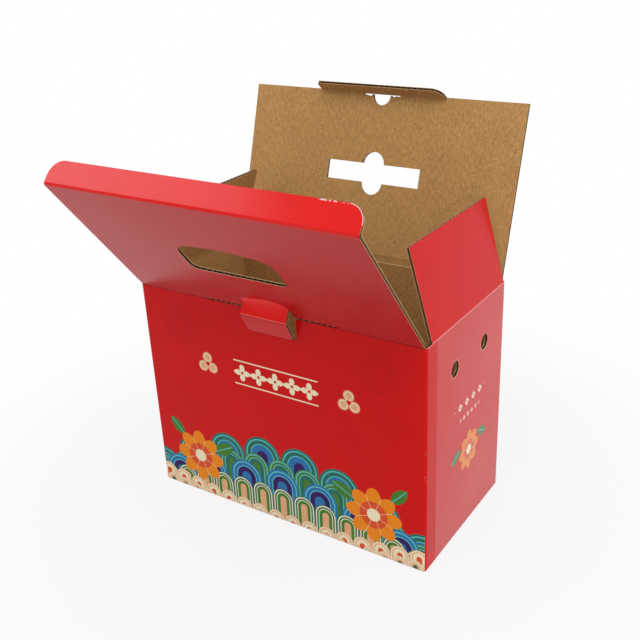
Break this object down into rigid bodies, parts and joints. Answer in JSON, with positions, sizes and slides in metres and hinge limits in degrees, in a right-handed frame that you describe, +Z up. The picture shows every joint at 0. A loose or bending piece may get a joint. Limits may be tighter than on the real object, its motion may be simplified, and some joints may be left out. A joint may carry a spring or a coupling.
{
  "type": "cardboard carry box",
  "caption": "Tall rectangular carry box folded from one sheet of corrugated board, with open front and back lids, hand holes, two side flaps and a lock tab.",
  "frame": {"origin": "centre of the base, on the surface that the box stands on", "axes": "+Z up, +X along the width to the right as seen from the front, +Y from the front panel to the back panel"},
  "size_m": [0.328, 0.3274, 0.4154],
  "materials": {
    "printed_board": "glossy red laminated print outside, bare brown kraft liner inside, 3 mm corrugated board"
  },
  "bodies": {
    "box_body": {"box_body": "printed_board"},
    "front_lid": {"front_lid": "printed_board"},
    "front_tuck_flap": {"front_tuck_flap": "printed_board"},
    "lock_tab": {"lock_tab": "printed_board"},
    "back_lid": {"back_lid": "printed_board"},
    "back_tuck_flap": {"back_tuck_flap": "printed_board"},
    "right_side_flap": {"right_side_flap": "printed_board"},
    "left_side_flap": {"left_side_flap": "printed_board"}
  },
  "joints": [
    {"name": "front_lid_crease", "type": "hinge", "parent": "box_body", "child": "front_lid", "pos_m": [0, -0.086, 0.24], "axis": [1, 0, 0], "range_deg": [-42, 130]},
    {"name": "front_tuck_crease", "type": "hinge", "parent": "front_lid", "child": "front_tuck_flap", "pos_m": [0, -0.18974, 0.37278], "axis": [1, 0, 0], "range_deg": [-12, 78]},
    {"name": "lock_tab_crease", "type": "hinge", "parent": "front_lid", "child": "lock_tab", "pos_m": [0, -0.09523, 0.25182], "axis": [1, 0, 0], "range_deg": [-26.5, 63.5]},
    {"name": "back_lid_crease", "type": "hinge", "parent": "box_body", "child": "back_lid", "pos_m": [0, 0.086, 0.24], "axis": [-1, 0, 0], "range_deg": [-17.5, 152.5]},
    {"name": "back_tuck_crease", "type": "hinge", "parent": "back_lid", "child": "back_tuck_flap", "pos_m": [0, 0.13757, 0.40356], "axis": [-1, 0, 0], "range_deg": [-24, 66]},
    {"name": "right_side_crease", "type": "hinge", "parent": "box_body", "child": "right_side_flap", "pos_m": [0.164, 0, 0.24], "axis": [0, 1, 0], "range_deg": [-75, 185]},
    {"name": "left_side_crease", "type": "hinge", "parent": "box_body", "child": "left_side_flap", "pos_m": [-0.164, 0, 0.24], "axis": [0, -1, 0], "range_deg": [-70, 190]}
  ]
}
